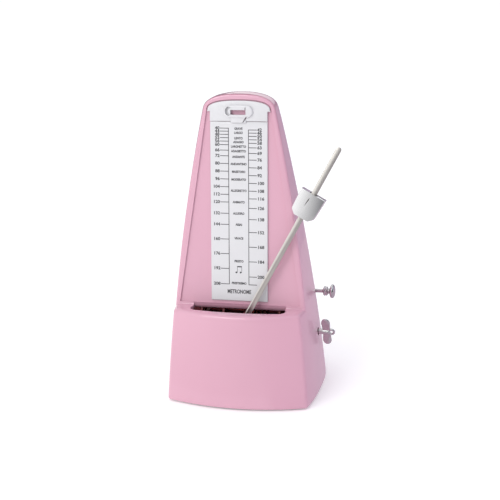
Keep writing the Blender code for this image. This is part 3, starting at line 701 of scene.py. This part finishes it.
def tempo_height(tempo):
    """Height along the face for a tempo, from the pendulum's own formula solved for r."""
    square = float(tempo) ** 2
    inside = TEMPO_GAIN ** 2 - 4 * square * (square * TEMPO_SPREAD - TEMPO_GAIN * TEMPO_REACH)
    return PIVOT_HEIGHT + (math.sqrt(inside) - TEMPO_GAIN) / (2 * square)


def make_plate(finish):
    plate = block("scale_plate_panel", (-PLATE_HALF_WIDTH, PLATE_FRONT, PLATE_BOTTOM),
                  (PLATE_HALF_WIDTH, PLATE_BACK, CAP_BOTTOM - GAP))
    bevel(plate, 0.25, 3)
    place(settle(plate), face_frame())
    dress(plate, finish["white_plastic"], "case", "white_plastic", "scale_plate")
    half = PLATE_HALF_WIDTH - LABEL_MARGIN
    label = block("scale_label", (-half, PLATE_FRONT - LABEL_THICKNESS, PLATE_BOTTOM + LABEL_MARGIN),
                  (half, PLATE_FRONT - LABEL_CLEARANCE, LABEL_TOP))
    place(label, face_frame())
    dress(label, finish["label"], "case", "white_plastic")


class Print:
    """Collects flat print on the label as thin slabs, in the face frame."""

    def __init__(self):
        self.work = bmesh.new()

    def bar(self, x0, x1, low, high):
        made = bmesh.ops.create_cube(self.work, size=1.0)["verts"]
        for v in made:
            v.co = Vector((mix(x0, x1, v.co.x + 0.5), self.depth(v.co.y), mix(low, high, v.co.z + 0.5))) * MM

    @staticmethod
    def depth(y):
        return PLATE_FRONT - LABEL_THICKNESS - (INK if y < 0 else -INK_ROOT)

    def words(self, text, x, height, size, align="CENTER", stretch=1.0, weight=0.0):
        curve = bpy.data.curves.new("letters", "FONT")
        curve.body = text
        curve.size = size * MM
        curve.align_x = align
        curve.align_y = "CENTER"
        curve.offset = weight * MM
        curve.extrude = INK * MM
        curve.resolution_u = 3
        letters = bpy.data.objects.new("letters", curve)
        bpy.context.scene.collection.objects.link(letters)
        bpy.context.view_layer.update()
        mesh = bpy.data.meshes.new_from_object(letters.evaluated_get(
            bpy.context.evaluated_depsgraph_get()))
        for v in mesh.vertices:
            v.co = Vector((x * MM + v.co.x * stretch, (PLATE_FRONT - LABEL_THICKNESS) * MM - v.co.z,
                           height * MM + v.co.y))
        self.work.from_mesh(mesh)
        bpy.data.objects.remove(letters)
        bpy.data.meshes.remove(mesh)
        bpy.data.curves.remove(curve)

    def piece(self, name):
        mesh = bpy.data.meshes.new(name)
        bmesh.ops.recalc_face_normals(self.work, faces=self.work.faces)
        self.work.to_mesh(mesh)
        self.work.free()
        mesh.transform(face_frame())
        return link(name, mesh)


def make_print(finish):
    """Two tempo ladders with their numbers, the tempo words, a note and a plain word below."""
    sheet = Print()
    half = PRINT_LINE / 2
    low = tempo_height(LEFT_TEMPOS[-1])
    ladders = ((-7.55, -13.9, -14.2, "RIGHT", LEFT_TEMPOS), (7.15, 13.2, 13.6, "LEFT", RIGHT_TEMPOS))
    for rail, tick_end, text_x, align, tempos in ladders:
        heights = [tempo_height(t) for t in tempos]
        sheet.bar(rail - half, rail + half, low - half, heights[0] + half)
        for tempo, height in zip(tempos, heights):
            sheet.bar(min(rail, tick_end), max(rail, tick_end), height - half, height + half)
            sheet.words(str(tempo), text_x, height, NUMBER_SIZE, align, stretch=1.08, weight=0.11)
        if heights[-1] > low:
            sheet.bar(rail, tick_end, low - half, low + half)
    for word, tempo in TEMPO_WORDS:
        sheet.words(word, -0.2, tempo_height(tempo), WORD_SIZE, stretch=0.86, weight=0.11)
    sheet.words("METRONOME", -0.1, NAME_HEIGHT, NAME_SIZE, stretch=0.7, weight=0.13)
    add_note(sheet, -0.6, 97.4)
    dress(sheet.piece("scale_print"), finish["ink"], "case", None)


def add_note(sheet, x, height):
    """A plain pair of quavers."""
    for side in (-1.6, 1.6):
        sheet.bar(x + side + 0.62, x + side + 0.9, height - 2.0, height + 2.4)
        sheet.words("•", x + side, height - 2.35, 5.2, stretch=1.15)
    sheet.bar(x - 0.98, x + 2.5, height + 1.7, height + 2.6)


def crescent(centre, outer, inner, shift, span=74):
    """A crescent open to the right, between two circles whose centres are shifted."""
    left = arc(outer, 180 - span, 180 + span, 14, centre)
    right = arc(inner, 180 + span, 180 - span, 14, (centre[0] + shift, centre[1]))
    return left + right


def make_cap(finish):
    """The arched cap with the raised clip: window, hollow beside it, tongue and slit."""
    ledge = CAP_EAR_HEIGHT - CAP_EAR_THICKNESS
    right = [(PLATE_HALF_WIDTH, CAP_BOTTOM), (PLATE_HALF_WIDTH, ledge), (CAP_EAR_HALF_WIDTH, ledge)]
    right += face_arch(CAP_EAR_HALF_WIDTH - 0.6, CAP_EAR_HEIGHT, CAP_TOP - 0.4, 20)
    cap = prism("clip_cap_shell", mirrored(right), "Y", CAP_FRONT, PLATE_BACK)
    bevel(cap, 0.35, 3)
    boss = prism("clip_boss", stadium(10.6, 4.6, (0.15, 211.8)), "Y", CAP_FRONT - 1.5, PLATE_FRONT)
    bevel(boss, 1.1, 5)
    tongue = block("clip_tongue", (-5.6, CAP_FRONT - 0.7, CAP_BOTTOM - 1.2),
                   (5.6, PLATE_FRONT - 0.35, 209.4))
    bevel(tongue, 0.6, 4)
    for part in (settle(boss), settle(tongue)):
        boolean(cap, part, "UNION")
    window = block("clip_window", (-5.65, -8, 209.55), (5.6, 8, 212.9))
    hollow = prism("clip_hollow", crescent((-6.1, 212.1), 3.5, 2.6, 1.5), "Y", -8, PLATE_FRONT)
    notch = block("clip_notch", (4.95, -8, 212.5), (5.6, PLATE_FRONT - 0.4, 214.9))
    slit = prism("clip_slit", [(2.7, 203.6), (3.5, 203.6), (6.5, 208.1), (5.8, 208.3)], "Y", -8, 8)
    for cutter in (window, hollow, notch, slit):
        boolean(cap, cutter, "DIFFERENCE")
    place(settle(cap), face_frame())
    dress(cap, finish["white_plastic"], "case", "white_plastic", "clip_cap")


# ---------------------------------------------------------------- pendulum

def make_rod(finish):
    """The flat rod with its round top, and the wider eye at the pivot."""
    outline = [(-ROD_HALF_WIDTH, ROD_BOTTOM), (ROD_HALF_WIDTH, ROD_BOTTOM)]
    outline += arc(ROD_EYE_RADIUS, -66, 66, 11)
    outline += arc(ROD_HALF_WIDTH, 0, 180, 12, (0, ROD_TOP - ROD_HALF_WIDTH))
    outline += arc(ROD_EYE_RADIUS, 114, 246, 11)
    rod = prism("pendulum_blade", outline, "Y", -ROD_HALF_THICKNESS, ROD_HALF_THICKNESS)
    eye = turned("rod_eye", [(-3, 1.5), (3, 1.5)], "Y", (0, 0), 32)
    boolean(rod, eye, "DIFFERENCE")
    bevel(rod, 0.15, 2)
    settle(rod)
    rod.matrix_world = pendulum_frame()
    dress(rod, finish["rod_steel"], "pendulum", "satin_steel", "pendulum_rod")


def weight_section(half, grown, z):
    """The weight's outline at one height: a bowed front, flat sides and back, rounded corners."""
    half, front, back, radius = half + grown, -3.6 - grown, 4.1 + grown, 0.4
    right = []
    for i in range(13):
        x = (half - radius) * i / 12
        right.append((x, front - 0.9 * (1 - (x / WEIGHT_HALF_WIDTH) ** 2)))
    right += arc(radius, -75, 0, 5, (half - radius, right[-1][1] + radius))
    right += arc(radius, 0, 90, 5, (half - radius, back - radius))
    return [(x, y, z) for x, y in right + [(-x, y) for x, y in reversed(right[1:])]]


def make_weight(finish):
    """The chromed sliding weight: a bowed front, cut lower corners and a channel for the rod."""
    levels = [(5.4, WEIGHT_BOTTOM, -0.2), (5.6, WEIGHT_BOTTOM + 0.06, -0.06),
              (5.75, WEIGHT_BOTTOM + 0.2, 0), (5.85, WEIGHT_BOTTOM + 0.3, 0),
              (8.0, WEIGHT_BOTTOM + 2.2, 0), (8.5, WEIGHT_BOTTOM + 2.75, 0), (8.85, WEIGHT_BOTTOM + 3.3, 0),
              (9.0, WEIGHT_BOTTOM + 4.0, 0), (WEIGHT_HALF_WIDTH - 0.02, WEIGHT_TOP - 0.3, 0),
              (WEIGHT_HALF_WIDTH, WEIGHT_TOP - 0.06, -0.06), (WEIGHT_HALF_WIDTH, WEIGHT_TOP, -0.2)]
    weight = loft("tempo_weight_block", [weight_section(half, grown, z) for half, z, grown in levels], 30)
    channel = block("weight_channel", (-ROD_HALF_WIDTH - GAP, -0.8, WEIGHT_BOTTOM - 3),
                    (ROD_HALF_WIDTH + GAP, 2.2, WEIGHT_TOP + 3))
    mouth = block("weight_mouth", (-2.6, -2.5, WEIGHT_TOP - 4), (2.6, 2.2, WEIGHT_TOP + 3))
    slit = prism("weight_slit", [(-1.0, WEIGHT_TOP - 2.4), (-0.7, WEIGHT_TOP - 5.0),
                                 (-1.75, WEIGHT_TOP - 10.4), (-1.6, WEIGHT_TOP - 5.0)], "Y", -6, -0.6)
    for cutter in (channel, mouth, slit):
        boolean(weight, cutter, "DIFFERENCE")
    settle(weight, 30)
    weight.matrix_world = pendulum_frame()
    dress(weight, finish["weight_chrome"], "weight", "chrome", "tempo_weight")


# ---------------------------------------------------------------- key, knob and feet

def make_key(finish):
    """A stamped wing key: barrel, two flat lobes with rounded edges and the closed loop at the end."""
    centre = (KEY_Y, KEY_Z)
    barrel = [(52.4, 1.7), (52.8, 2.15), (60.6, 2.15), (61.4, 1.8)]
    key = turned("winding_key_body", rounded(barrel, 0.4), "X", centre)
    lean = Matrix.Translation(Vector((0, KEY_Y, KEY_Z)) * MM) @ Matrix.Rotation(KEY_TWIST, 4, "X")
    for side in (1, -1):
        lobe = [(58.7 + 3.3 * math.cos(math.radians(a)), side * (8.4 + 4.4 * math.sin(math.radians(a))))
                for a in range(0, 181, 12)]
        wing = prism(f"key_wing_{side}", [(61.6, side * 0.6)] + lobe + [(56.2, side * 0.6)], "Y", -0.7, 0.7)
        bevel(wing, 0.45, 4)
        boolean(key, place(settle(wing), lean), "UNION")
    loop_centre = (62.3, 0)
    loop = prism("key_loop", circle(2.9, 30, loop_centre), "Y", -0.8, 0.8)
    boolean(loop, prism("key_loop_eye", circle(1.5, 30, loop_centre), "Y", -2, 2), "DIFFERENCE")
    bevel(loop, 0.4, 4)
    boolean(key, place(settle(loop), lean), "UNION")
    boolean(key, turned("key_bore", [(50, 1.4), (59.9, 1.4)], "X", centre, 32), "DIFFERENCE")
    settle(key)
    dress(key, finish["chrome"], "winding", "chrome", "winding_key")


def make_knob(finish):
    """The bell selector: rod, bead, neck and a domed head with a rounded rim."""
    rough = [(-2.0, 0.9), (-1.8, 1.3), (53.4, 1.45), (53.8, 2.2), (54.0, 3.2), (54.9, 3.9), (55.5, 3.3),
             (55.8, 3.4), (56.6, 3.6), (57.2, 2.8), (57.5, 2.0), (58.5, 2.0), (58.9, 3.6), (59.6, 5.0),
             (60.6, 5.35), (61.5, 5.1), (62.2, 4.2), (62.7, 2.4), (62.8, 0.4)]
    knob = turned("selector_knob_body", rounded(rough, 0.7, 4), "X", (KNOB_Y, KNOB_Z))
    dress(knob, finish["chrome"], "selector", "chrome", "selector_knob")


def make_feet(finish):
    for number in range(1, 5):
        node = f"foot_{number}"
        low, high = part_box(node)
        middle = ((low.x + high.x) / 2 / MM, (low.y + high.y) / 2 / MM)
        radius, bottom, top = (high.x - low.x) / 2 / MM, low.z / MM, high.z / MM
        profile = [(bottom, radius - 0.6), (bottom + 0.15, radius - 0.25), (bottom + 0.4, radius),
                   (top, radius)]
        foot = turned(f"rubber_foot_{number}", profile, "Z", middle, 48)
        dress(foot, finish["rubber"], "case", "rubber", node)


def finish_cad_nodes(finish):
    """Gives every CAD node the material of its slot in the record, except that the clockwork inside gets
    dark maroon steel and brass, painted shade.
    """
    for part in frame["record"]["subparts"]:
        node = frame["nodes"][part["node"]]
        node.data.materials.clear()
        # the clockwork in the slot gets painted shade: dark maroon in place of its steel and brass
        inside = {"satin_steel": "shaded_steel", "brass": "shaded_brass"} if part["node"] in INSIDE else {}
        slot = part["material_slot"]
        node.data.materials.append(finish[inside.get(slot, slot)])


# ---------------------------------------------------------------- studio

def area_light(name, place, target, size, power, color=(1, 1, 1)):
    data = bpy.data.lights.new(name, "AREA")
    data.shape = "RECTANGLE"
    data.size, data.size_y = size
    data.energy = power
    data.color = color
    made = bpy.data.objects.new(name, data)
    bpy.context.scene.collection.objects.link(made)
    made.location = place
    made.rotation_euler = (Vector(target) - Vector(place)).to_track_quat("-Z", "Y").to_euler()


def make_studio():
    """A pale floor that runs far beyond the picture, the two lights, and a dim one in the casing."""
    floor_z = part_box("foot_1")[0].z
    half = 30.0
    mesh = bpy.data.meshes.new("floor")
    mesh.from_pydata([(-half, -half, floor_z), (half, -half, floor_z), (half, half, floor_z),
                      (-half, half, floor_z)], [], [(0, 1, 2, 3)])
    floor = link("floor", mesh)
    paper = Finish("pale_floor", (0.93, 0.93, 0.93), 0.9)
    paper.set("Emission Color", (1, 1, 1, 1))
    paper.set("Emission Strength", 0.2)
    paper.set("Specular IOR Level", 0.0)
    floor.data.materials.append(paper.material)
    bpy.context.scene.world = studio_world()
    bpy.context.scene.view_settings.view_transform = "Standard"
    target = (0, 0, 0.1)
    area_light("key_light", (-0.5, -1.1, 0.9), target, (0.7, 0.7), 6.0)
    area_light("side_light", (1.1, 0.1, 0.5), target, (0.6, 0.9), 2.0, (0.80, 0.84, 1.0))
    area_light("inside_light", (0, 0.01, 0.13), (0, -0.02, 0.05), (0.03, 0.02), 0.03, (1, 0.5, 0.47))


def card(name, azimuth, distances, width, heights, colors, shades=False):
    """A card out of the camera's sight that metal and gloss reflect: a soft change of colour across it.

    The two distances and heights are those of its lower and its upper edge. A card that shades is a
    matt one in the studio's light; the others have the given brightness by themselves.
    """
    across = Vector((math.cos(azimuth), math.sin(azimuth), 0))
    outward = Vector((math.sin(azimuth), -math.cos(azimuth), 0))
    corners = []
    for edge, side in ((0, -1), (0, 1), (1, 1), (1, -1)):
        corners.append(outward * distances[edge] + across * side * width / 2 + Vector((0, 0, heights[edge])))
    mesh = bpy.data.meshes.new(name)
    mesh.from_pydata(corners, [], [(0, 1, 2, 3)])
    finish = Finish(name, (0, 0, 0), 0.9)
    finish.set("Specular IOR Level", 0.0)
    finish.set("Emission Strength", 0.0 if shades else 1.0)
    along = finish.nodes.new("ShaderNodeVectorMath")
    along.operation = "DOT_PRODUCT"
    along.inputs[1].default_value = across
    finish.links.new(finish.coordinates, along.inputs[0])
    finish.vary_color(along.outputs["Value"], *colors, -0.25 * width, 0.35 * width,
                      "Base Color" if shades else "Emission Color")
    made = link(name, mesh)
    made.data.materials.append(finish.material)
    made.visible_camera = False
    made.visible_diffuse = made.visible_shadow = shades


def studio_world():
    """Surroundings that fall off and turn cooler towards the right, and are white to the camera."""
    world = bpy.data.worlds.new("studio")
    world.use_nodes = True
    nodes, links = world.node_tree.nodes, world.node_tree.links
    direction = nodes.new("ShaderNodeTexCoord").outputs["Generated"]
    parts = nodes.new("ShaderNodeSeparateXYZ")
    links.new(direction, parts.inputs["Vector"])
    ramp = nodes.new("ShaderNodeValToRGB")
    ramp.color_ramp.interpolation = "EASE"
    ramp.color_ramp.elements[0].position, ramp.color_ramp.elements[0].color = 0.35, (1.0, 1.0, 1.0, 1)
    ramp.color_ramp.elements[1].position, ramp.color_ramp.elements[1].color = 0.95, (0.52, 0.53, 0.62, 1)
    moved = nodes.new("ShaderNodeMapRange")
    moved.inputs["From Min"].default_value = -1.0
    links.new(parts.outputs["X"], moved.inputs["Value"])
    links.new(moved.outputs["Result"], ramp.inputs["Fac"])
    links.new(ramp.outputs["Color"], nodes["Background"].inputs["Color"])
    nodes["Background"].inputs["Strength"].default_value = 1.05
    white = nodes.new("ShaderNodeBackground")
    white.inputs["Color"].default_value = (1, 1, 1, 1)
    seen = nodes.new("ShaderNodeMixShader")
    links.new(nodes.new("ShaderNodeLightPath").outputs["Is Camera Ray"], seen.inputs["Fac"])
    links.new(nodes["Background"].outputs["Background"], seen.inputs[1])
    links.new(white.outputs["Background"], seen.inputs[2])
    links.new(seen.outputs["Shader"], nodes["World Output"].inputs["Surface"])
    return world


def make_cards():
    """Grey shading on the right, and darker reflections for edges, metal and the right side."""
    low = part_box("foot_1")[0].z + 0.001
    grey, black = ((0.36, 0.36, 0.37),) * 2, ((0.02, 0.02, 0.02),) * 2
    fade, dark = ((1.05, 1.05, 1.05), (0.26, 0.26, 0.27)), ((0.05, 0.05, 0.055),) * 2
    violet, lilac = ((0.44, 0.36, 0.46),) * 2, ((0.60, 0.49, 0.58),) * 2
    card("grey_card", math.radians(24), (1.15, 1.15), 0.6, (low, 0.75), grey, True)
    card("black_card", math.radians(70), (0.9, 0.9), 0.18, (low, 0.5), black, True)
    card("front_card", math.radians(-8), (1.05, 1.05), 1.2, (low, 0.75), fade)
    card("front_mat", math.radians(-8), (0.1, 1.05), 1.2, (low, low), fade)
    card("right_card", math.radians(78), (0.8, 0.8), 0.8, (low, 0.6), dark)
    card("left_card", math.radians(-105), (0.8, 0.8), 0.4, (low, 0.6), dark)
    card("back_card", math.radians(170), (0.5, 0.5), 0.9, (0.205, 0.28), dark)
    card("violet_card", math.radians(160), (0.5, 0.5), 0.9, (low, 0.2), violet)
    card("violet_mat", math.radians(90), (0.03, 0.7), 1.3, (low + 0.001, low + 0.001), lilac)


def make_camera():
    azimuth, elevation, roll = CAMERA_AZIMUTH, CAMERA_ELEVATION, CAMERA_ROLL
    back = Vector((math.sin(azimuth) * math.cos(elevation), -math.cos(azimuth) * math.cos(elevation),
                   math.sin(elevation)))
    level = Vector((math.cos(azimuth), math.sin(azimuth), 0))
    upright = back.cross(level)
    right = level * math.cos(roll) + upright * math.sin(roll)
    up = upright * math.cos(roll) - level * math.sin(roll)
    data = bpy.data.cameras.new("camera")
    data.lens, data.sensor_width = CAMERA_LENS, SENSOR
    camera = bpy.data.objects.new("camera", data)
    bpy.context.scene.collection.objects.link(camera)
    turn = Matrix((right, up, back)).transposed().to_4x4()
    spot = (Vector(CAMERA_TARGET) + back * CAMERA_DISTANCE) * MM
    camera.matrix_world = Matrix.Translation(spot) @ turn
    bpy.context.scene.camera = camera


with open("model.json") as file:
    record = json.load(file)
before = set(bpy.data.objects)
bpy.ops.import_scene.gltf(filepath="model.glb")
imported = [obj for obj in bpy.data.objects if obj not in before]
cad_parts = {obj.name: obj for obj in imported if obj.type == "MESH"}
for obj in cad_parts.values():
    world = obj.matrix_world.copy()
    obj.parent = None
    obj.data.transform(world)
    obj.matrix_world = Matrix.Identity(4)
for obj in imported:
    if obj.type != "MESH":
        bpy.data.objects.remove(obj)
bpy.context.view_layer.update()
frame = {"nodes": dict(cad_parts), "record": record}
finishes = make_finishes()
finish_cad_nodes(finishes)
make_casing(finishes)
make_plate(finishes)
make_print(finishes)
make_cap(finishes)
make_rod(finishes)
make_weight(finishes)
make_key(finishes)
make_knob(finishes)
make_feet(finishes)
make_studio()
make_cards()
make_camera()
